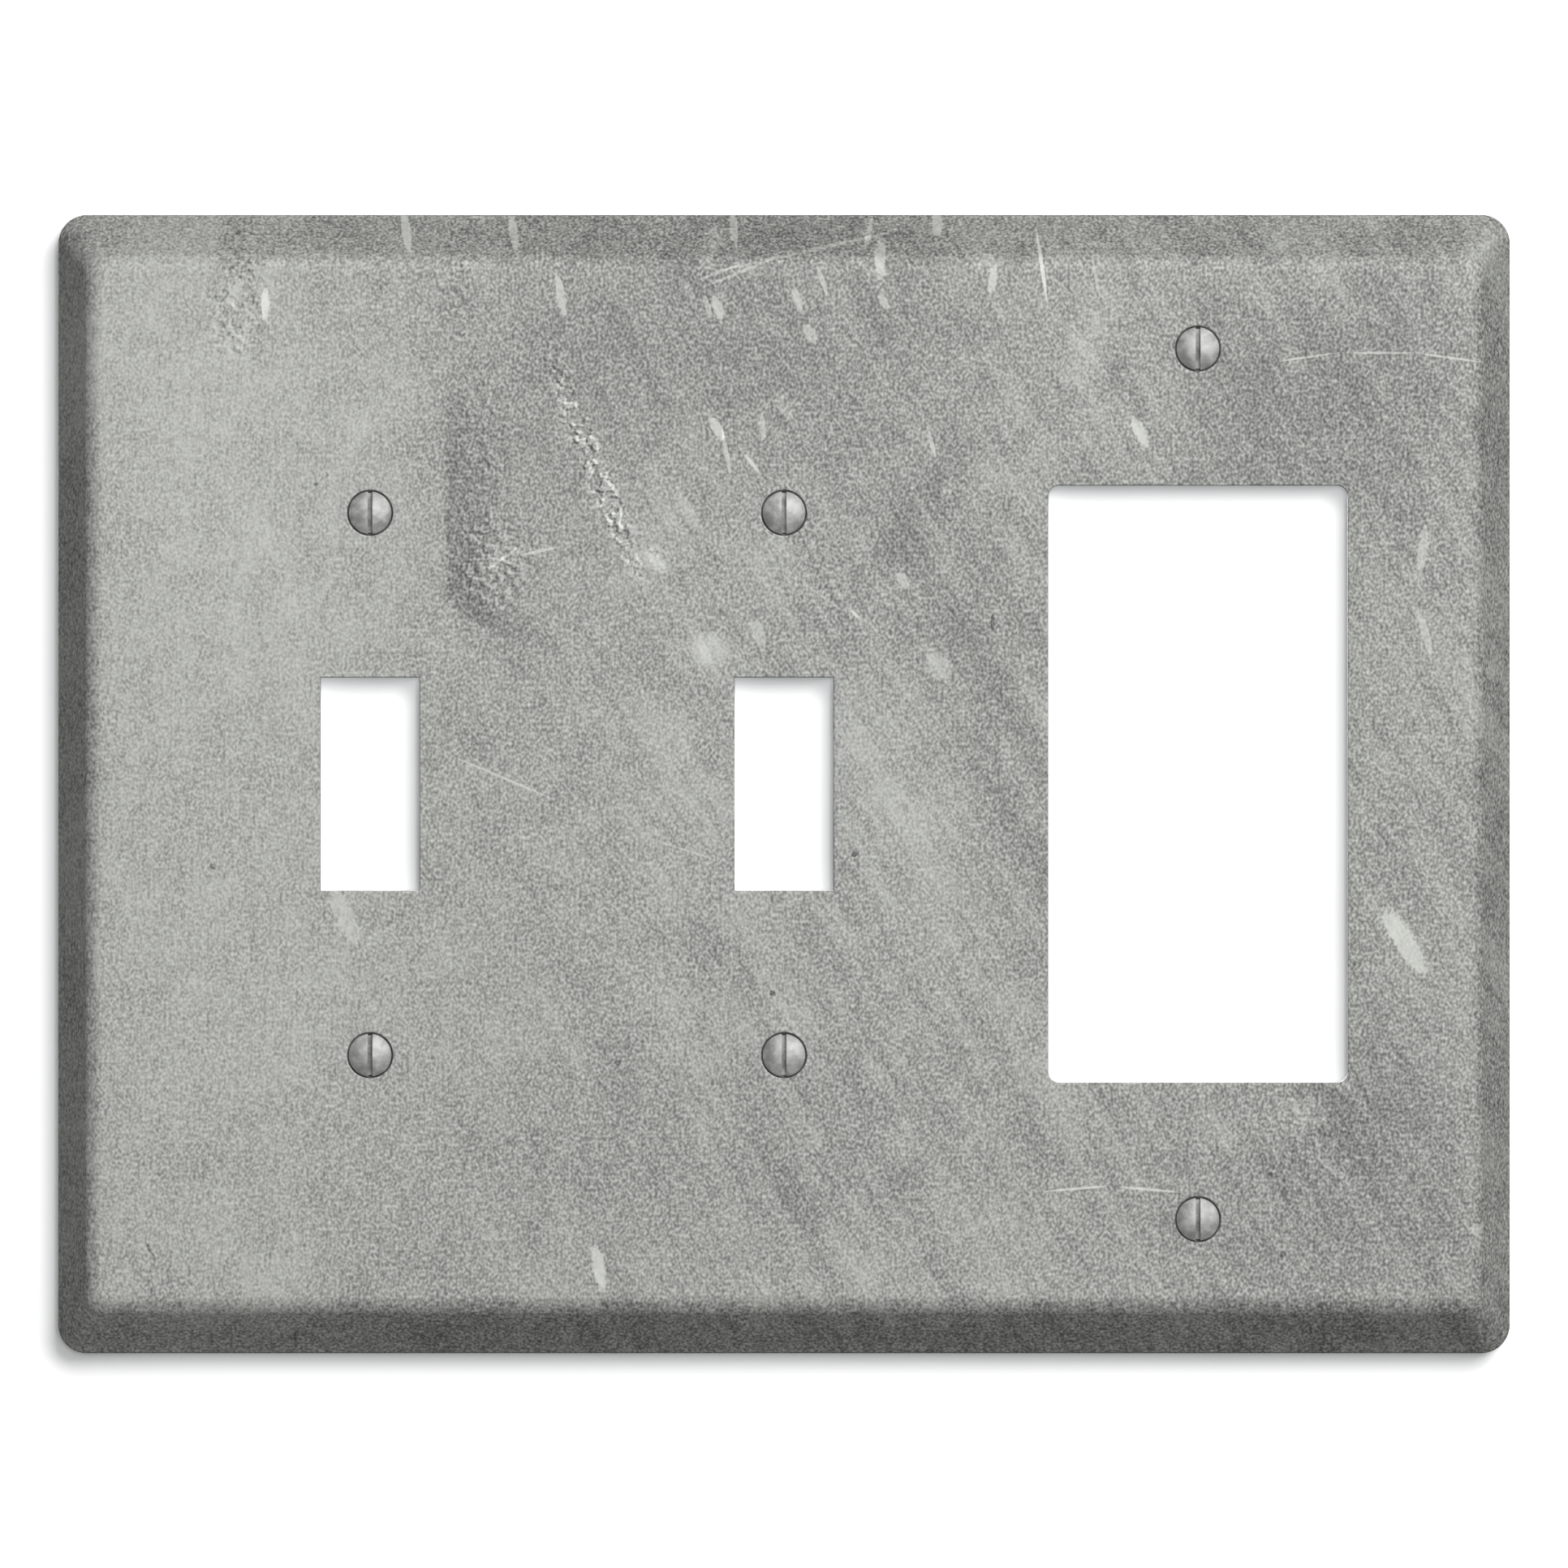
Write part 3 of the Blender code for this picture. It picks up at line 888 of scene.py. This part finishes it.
def draw_marks(chain, marks, growth, core, fray):
    """Adds a table of marks to the chain, and returns the end of the chain."""
    for x, z, half_length, half_width, turn, strength in marks:
        chain = add_node(
            ink, "ShaderNodeGroup",
            {"Place and level": chain, "Centre": (x, 0, z), "Turn": (0, -math.radians(turn), 0),
             "Half size": (growth * half_length, IGNORE_LEVEL, growth * half_width), "Core": core,
             "Fray": fray, "Strength": (0, strength, 0)},
            node_tree=mark_group,
        ).outputs[0]
    return chain


place_and_level = add_node(ink, "ShaderNodeCombineXYZ", {0: across, 1: level, 2: up}).outputs[0]
for marks, growth, core, fray_strength, fray_grain in KINDS:
    place_and_level = draw_marks(place_and_level, marks, growth, core, fray_of(fray_strength, fray_grain))
level = add_node(ink, "ShaderNodeSeparateXYZ", {0: place_and_level}).outputs["Y"]
print(sum(len(kind[0]) for kind in KINDS), "marks")

# %% [markdown]
# The trowel has left a step left of the middle, and that is no ellipse: a crisp edge that runs down and
# curls away to the right, with the concrete dark beside it and paler further off. Below CURL_Z the edge is
# a parabola. The distance from it is roughened with grit, and five ramps multiplied together make the
# shade.

# %% The trowel's edge
EDGE_X = -37.7
CURL_Z = 22.0
CURL = 0.22
RAGGED = 1.6
STEP_START, STEP_END = 0.6, 1.2
EDGE_TOP, EDGE_BOTTOM = 49.0, 18.5
TOP_FADE = 9.0
BOTTOM_FADE_START, BOTTOM_FADE_END = EDGE_BOTTOM - 5.0, EDGE_BOTTOM + 2.0
SHADE_WIDTH = 9.0
SHADE_LEVELS = -34.0
SHADE_AT_TOP = 0.45

below = add_node(ink, "ShaderNodeMath", {0: CURL_Z, 1: up}, operation="SUBTRACT").outputs[0]
below = add_node(ink, "ShaderNodeMath", {0: below, 1: 0.0}, operation="MAXIMUM").outputs[0]
curl = add_node(ink, "ShaderNodeMath", {0: below, 1: 2.0}, operation="POWER").outputs[0]
curl = add_node(ink, "ShaderNodeMath", {0: curl, 1: -CURL, 2: -EDGE_X}, operation="MULTIPLY_ADD").outputs[0]
beside = add_node(ink, "ShaderNodeMath", {0: across, 1: curl}, operation="ADD").outputs[0]
beside = add_node(
    ink, "ShaderNodeMath", {0: noise_of["grit"], 1: RAGGED, 2: beside}, operation="MULTIPLY_ADD"
).outputs[0]
shade = 1.0
for value, from_min, from_max, to_min, to_max in (
    (beside, STEP_START, STEP_END, 0.0, 1.0),
    (beside, STEP_END, SHADE_WIDTH, 1.0, 0.0),
    (up, EDGE_TOP - TOP_FADE, EDGE_TOP, 1.0, 0.0),
    (up, BOTTOM_FADE_START, BOTTOM_FADE_END, 0.0, 1.0),
    (up, EDGE_BOTTOM, EDGE_TOP, 1.0, SHADE_AT_TOP),
):
    ramp = add_node(
        ink, "ShaderNodeMapRange",
        {"Value": value, "From Min": from_min, "From Max": from_max, "To Min": to_min, "To Max": to_max},
        interpolation_type="SMOOTHSTEP",
    ).outputs[0]
    shade = add_node(ink, "ShaderNodeMath", {0: shade, 1: ramp}, operation="MULTIPLY").outputs[0]
level = add_node(
    ink, "ShaderNodeMath", {0: shade, 1: SHADE_LEVELS, 2: level}, operation="MULTIPLY_ADD"
).outputs[0]
print("trowel edge at", EDGE_X, "mm")

# %% [markdown]
# A ridge of pitted mortar slants down beside the step, and other places are pitted more faintly. The skin
# is broken there, so each fleck is bright on one side and dark on the other. That takes the same noise
# twice, the second time shifted and taken away. Ellipses from the mark group say where it shows.

# %% The pitted ridges
PIT_GRAIN = 0.75
FLECK_FROM, FLECK_TO = 0.49, 0.60
FLECK_SHADOW = (0.30, 0.0, 0.22)
SHADOW_SHARE = -0.8
RIDGE_CORE = 0.4
# the same columns as for the marks
RIDGES = (
    (-21.2, 35.6, 18.5, 2.1, -68.5, 78), (-61, 54, 11, 4, 87, -30), (-33, 24.5, 6.5, 7.5, 0, 44),
    (-14.3, 25, 3, 2, -30, 30), (-34, 38, 12, 4, 87, 30), (-36, 54, 9, 1.6, 87, 34),
    (5, 24, 16, 5, -50, 20), (58, -40, 16, 9, 20, 22), (66, 40, 12, 8, 20, 20),
)

flecks = []
for shift in ((0.0, 0.0, 0.0), FLECK_SHADOW):
    shifted = add_node(ink, "ShaderNodeVectorMath", {0: solid_place, 1: shift}, operation="ADD").outputs[0]
    broken = add_node(
        ink, "ShaderNodeTexNoise", {"Vector": shifted, "Scale": 1 / PIT_GRAIN, "Detail": 1.0}
    ).outputs["Fac"]
    fleck = add_node(
        ink, "ShaderNodeMapRange", {"Value": broken, "From Min": FLECK_FROM, "From Max": FLECK_TO},
        interpolation_type="SMOOTHSTEP",
    ).outputs[0]
    flecks.append(fleck)
relief = add_node(
    ink, "ShaderNodeMath", {0: flecks[1], 1: SHADOW_SHARE, 2: flecks[0]}, operation="MULTIPLY_ADD"
).outputs[0]

place_and_ridge = draw_marks(flat_place, RIDGES, 1.0, RIDGE_CORE, fray_of(0.5, 0.4))
ridge = add_node(ink, "ShaderNodeSeparateXYZ", {0: place_and_ridge}).outputs["Y"]
level = add_node(ink, "ShaderNodeMath", {0: ridge, 1: relief, 2: level}, operation="MULTIPLY_ADD").outputs[0]
print(len(RIDGES), "ridges")

# %% [markdown]
# The sand is the finest thing in the print. Its grains are drawn at a third of a millimetre, which is as
# coarse as they need to show. It shows most where the concrete is dark and open, and hardly at all in the
# chips, where pale lime fills it. So its strength comes from the level that it is added to.

# %% The sand
SAND_GRAIN = (0.30, 0.30, 0.36)
DARK_LEVEL, DARK_SAND = 148.0, 158.0
PALE_LEVEL, PALE_SAND = 212.0, 25.0

placed = add_node(
    ink, "ShaderNodeMapping", {"Vector": solid_place, "Scale": SAND_GRAIN}, vector_type="TEXTURE"
).outputs[0]
sand = add_node(ink, "ShaderNodeTexNoise", {"Vector": placed, "Scale": 1.0, "Detail": 0.0}).outputs["Fac"]
sand = add_node(ink, "ShaderNodeMath", {0: sand, 1: 0.5}, operation="SUBTRACT").outputs[0]
sand_strength = add_node(
    ink, "ShaderNodeMapRange",
    {"Value": level, "From Min": DARK_LEVEL, "From Max": PALE_LEVEL, "To Min": DARK_SAND,
     "To Max": PALE_SAND},
    interpolation_type="SMOOTHSTEP",
).outputs[0]
level = add_node(
    ink, "ShaderNodeMath", {0: sand, 1: sand_strength, 2: level}, operation="MULTIPLY_ADD"
).outputs[0]
print("sand of", SAND_GRAIN[0], "mm")

# %% [markdown]
# Now the level becomes a colour. Cement grey is very slightly green and yellow, so blue is held back a
# little. The varnish is satin, and uneven where the print was laid on thicker, so its roughness follows the
# clouds and the grit. Its surface has the faintest orange peel. A little of the metal shows through the
# ink, which makes the flat face, square to the light, glow against the slopes.

# %% Colour, gloss and orange peel
WHITE_LEVEL = 255.0
DISPLAY_POWER = 2.2
INK_TINT = (0.985, 1.0, 0.935)
INK_SHARE = 0.605
METAL_THROUGH = 0.14
SATIN, CLOUDS_IN_GLOSS, GRIT_IN_GLOSS = 0.42, 0.20, 0.16
PEEL_GRAIN = 1.1
PEEL_HEIGHT = 0.006 * MM

share = add_node(
    ink, "ShaderNodeMath", {0: level, 1: WHITE_LEVEL}, operation="DIVIDE", use_clamp=True
).outputs[0]
bright = add_node(ink, "ShaderNodeMath", {0: share, 1: DISPLAY_POWER}, operation="POWER").outputs[0]
tint = tuple(INK_SHARE * part for part in INK_TINT)
colour = add_node(ink, "ShaderNodeVectorMath", {0: tint, "Scale": bright}, operation="SCALE").outputs[0]
ink.links.new(colour, ink_shader.inputs["Base Color"])
ink_shader.inputs["Metallic"].default_value = METAL_THROUGH

gloss = SATIN
for name, strength in (("clouds", CLOUDS_IN_GLOSS), ("grit", GRIT_IN_GLOSS)):
    gloss = add_node(
        ink, "ShaderNodeMath", {0: noise_of[name], 1: strength, 2: gloss}, operation="MULTIPLY_ADD"
    ).outputs[0]
ink.links.new(gloss, ink_shader.inputs["Roughness"])

peel = add_node(
    ink, "ShaderNodeTexNoise", {"Vector": solid_place, "Scale": 1 / PEEL_GRAIN, "Detail": 1.0}
).outputs["Fac"]
bump = add_node(
    ink, "ShaderNodeBump", {"Height": peel, "Distance": PEEL_HEIGHT, "Strength": 1.0}
).outputs[0]
ink.links.new(bump, ink_shader.inputs["Normal"])
print("print finish:", len(ink.nodes), "nodes")

# %% [markdown]
# ## Bare steel behind
# Only the front is printed. The back, the rim and the punched edges are the sheet itself: dull zinc-coated
# steel, with the faint patchwork of its zinc crystals, drawn at 4 mm, and a haze of paint that has crept
# round the rim.

# %% Zinc-coated steel
SPANGLE = 4.0
DUST_GRAIN = 9.0
CRYSTAL_SHARE = 0.30

zinc_material, zinc, zinc_shader = new_finish("zinc_coated_sheet_steel")
place = place_in_mm(zinc)
crystals = add_node(zinc, "ShaderNodeTexVoronoi", {"Vector": place, "Scale": 1 / SPANGLE}).outputs["Color"]
crystal = add_node(zinc, "ShaderNodeSeparateColor", {0: crystals}).outputs["Red"]
dust = add_node(
    zinc, "ShaderNodeTexNoise", {"Vector": place, "Scale": 1 / DUST_GRAIN, "Detail": 6.0}
).outputs["Fac"]
mottle = add_node(
    zinc, "ShaderNodeMath", {0: crystal, 1: CRYSTAL_SHARE, 2: dust}, operation="MULTIPLY_ADD"
).outputs[0]
metal = add_node(
    zinc, "ShaderNodeMix", {0: mottle, 6: linear("#7E8183"), 7: linear("#B4B7B8")}, data_type="RGBA"
).outputs[2]

print(f"zinc coat: crystals of {SPANGLE:.0f} mm")

# %% [markdown]
# The paint haze grows towards the rim, whichever side is nearest, and dust breaks it up. The same dust makes
# the zinc duller in places and gives the rolled sheet its slight unevenness.

# %% Paint haze and gloss of the zinc
HAZE_WIDTH = 5.0
ZINC_METALLIC = 0.85
ZINC_SMOOTHEST, ZINC_SPREAD = 0.34, 0.30
ROLLED_HEIGHT = 0.01 * MM

place_axes = add_node(zinc, "ShaderNodeSeparateXYZ", {0: place})
haze = 0.0
for axis, half in (("X", PLATE_WIDTH / 2 / MM), ("Z", PLATE_HEIGHT / 2 / MM)):
    from_middle = add_node(
        zinc, "ShaderNodeMath", {0: place_axes.outputs[axis]}, operation="ABSOLUTE"
    ).outputs[0]
    near_rim = add_node(
        zinc, "ShaderNodeMapRange",
        {"Value": from_middle, "From Min": half - HAZE_WIDTH, "From Max": half, "To Min": 0.0, "To Max": 1.0},
    ).outputs[0]
    haze = add_node(zinc, "ShaderNodeMath", {0: haze, 1: near_rim}, operation="MAXIMUM").outputs[0]
haze = add_node(zinc, "ShaderNodeMath", {0: haze, 1: dust}, operation="MULTIPLY").outputs[0]
sprayed = add_node(
    zinc, "ShaderNodeMix", {0: haze, 6: metal, 7: linear("#8E8F8B")}, data_type="RGBA"
).outputs[2]
zinc.links.new(sprayed, zinc_shader.inputs["Base Color"])
zinc_shader.inputs["Metallic"].default_value = ZINC_METALLIC
dull = add_node(
    zinc, "ShaderNodeMath", {0: dust, 1: ZINC_SPREAD, 2: ZINC_SMOOTHEST}, operation="MULTIPLY_ADD"
).outputs[0]
zinc.links.new(dull, zinc_shader.inputs["Roughness"])
rolled = add_node(
    zinc, "ShaderNodeBump", {"Height": dust, "Distance": ROLLED_HEIGHT, "Strength": 1.0}
).outputs[0]
zinc.links.new(rolled, zinc_shader.inputs["Normal"])
print(f"paint haze over {HAZE_WIDTH:.0f} mm from the rim")

# %% [markdown]
# The plate holds both materials, and each face is given one by where it looks. The lip's outside is
# printed, and its end and inside are bare.

# %% Which faces are printed
def give_material(obj, number, test):
    """Gives the material in this slot to the faces that pass the test."""
    make_only(obj)
    edit(True)
    count = choose("FACE", test)
    obj.active_material_index = number
    bpy.ops.object.material_slot_assign()
    edit(False)
    return count


def is_bare(face):
    """The back, the rim's end, the inside of the lip and the punched walls."""
    centre, normal = face.calc_center_median(), face.normal
    outer_lip = centre.y > -2 * LIP_HEIGHT and normal.x * centre.x + normal.z * centre.z > 0
    return normal.y > 0.5 or (normal.y > -0.1 and not outer_lip)


plate.data.materials.append(print_material)
plate.data.materials.append(zinc_material)
print(give_material(plate, 1, is_bare), "faces are bare steel")

# %% [markdown]
# ## Plated screws
# The screws are steel with a satin nickel plate, tumbled in a drum before plating. That leaves the metal
# softly cloudy: patches of a millimetre or so reflect a little more or less sharply. The saw's slot never
# sees the drum, so it stays rough, and its darker colour is painted shade for the depth of the slot. The cone
# in the plate that a head sits in is darker still, as painted shadow for the gap round the head.

# %% Satin nickel, with painted shade in the slot and painted shadow in the seat
CLOUD = 1.3
CLOUD_FROM, CLOUD_TO = 0.35, 0.65
DENT_HEIGHT = 0.05 * MM
# name, darkest and lightest colour, roughness where smoothest, how much it spreads, metallic
METALS = (
    ("satin_nickel_plated_steel", "#969694", "#B4B4B2", 0.60, 0.22, 1.0),
    # the sawn slot's darker colours are painted shade for the depth of the slot
    ("sawn_slot_painted_shade", "#747472", "#A2A2A0", 0.62, 0.20, 0.4),
    # the seat's dark colours are painted shadow for the gap round each head
    ("countersink_seat_painted_shadow", "#30302E", "#4C4C4A", 0.70, 0.15, 0.0),
)

metals = []
for name, dark, light, smoothest, spread, metallic in METALS:
    material, plated, shader = new_finish(name)
    metals.append(material)
    cloud = add_node(
        plated, "ShaderNodeTexNoise",
        {"Vector": place_in_mm(plated), "Scale": 1 / CLOUD, "Detail": 3.0, "Roughness": 0.6},
    ).outputs["Fac"]
    clearer = add_node(
        plated, "ShaderNodeMapRange", {"Value": cloud, "From Min": CLOUD_FROM, "From Max": CLOUD_TO},
        interpolation_type="SMOOTHSTEP",
    ).outputs[0]
    tone = add_node(
        plated, "ShaderNodeMix", {0: clearer, 6: linear(dark), 7: linear(light)}, data_type="RGBA"
    ).outputs[2]
    plated.links.new(tone, shader.inputs["Base Color"])
    rough = add_node(
        plated, "ShaderNodeMath", {0: cloud, 1: spread, 2: smoothest}, operation="MULTIPLY_ADD"
    ).outputs[0]
    plated.links.new(rough, shader.inputs["Roughness"])
    dents = add_node(
        plated, "ShaderNodeBump", {"Height": cloud, "Distance": DENT_HEIGHT, "Strength": 1.0}
    ).outputs[0]
    plated.links.new(dents, shader.inputs["Normal"])
    shader.inputs["Metallic"].default_value = metallic
nickel_material, slot_shade_material, seat_shadow_material = metals
print("clouds of", CLOUD, "mm in", len(metals), "finishes")

# %% [markdown]
# The seats are the cones in the plate's face, and each slot's floor and walls are what the saw left. Both
# are found by their place and by where they look.

# %% Finish the seats and the screws
def is_seat(face):
    """The cone under a screw's head."""
    centre = face.calc_center_median()
    near = min((centre - place).length for place in screw_places.values())
    return near < MOUTH_RADIUS and -0.9 < face.normal.y < -0.1


def is_in_slot(face):
    """The slot's floor and walls, below the tumbled mouth."""
    centre = face.calc_center_median() - screw_places[body]
    inside = abs(centre.x) < SLOT_WIDTH / 2 + NEAR and centre.y < dome_top + SLOT_DEPTH + NEAR
    return inside and (abs(face.normal.x) > 0.99 or faces_front(face))


# the seats are painted dark as the shadow in the gap round each head
plate.data.materials.append(seat_shadow_material)
print(give_material(plate, 2, is_seat), "faces of the seats are grimy")
for body, obj in screws.items():
    obj.data.materials.append(nickel_material)
    # the sawn faces take the painted shade of the slot
    obj.data.materials.append(slot_shade_material)
    print(give_material(obj, 1, is_in_slot), "sawn faces in", obj.name)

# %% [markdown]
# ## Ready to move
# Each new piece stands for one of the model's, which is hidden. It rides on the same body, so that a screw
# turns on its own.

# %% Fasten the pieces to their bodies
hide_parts("wall_plate")
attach(plate, "plate")
for body, obj in screws.items():
    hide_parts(body)
    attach(obj, body)
print(1 + len(screws), "pieces fastened")
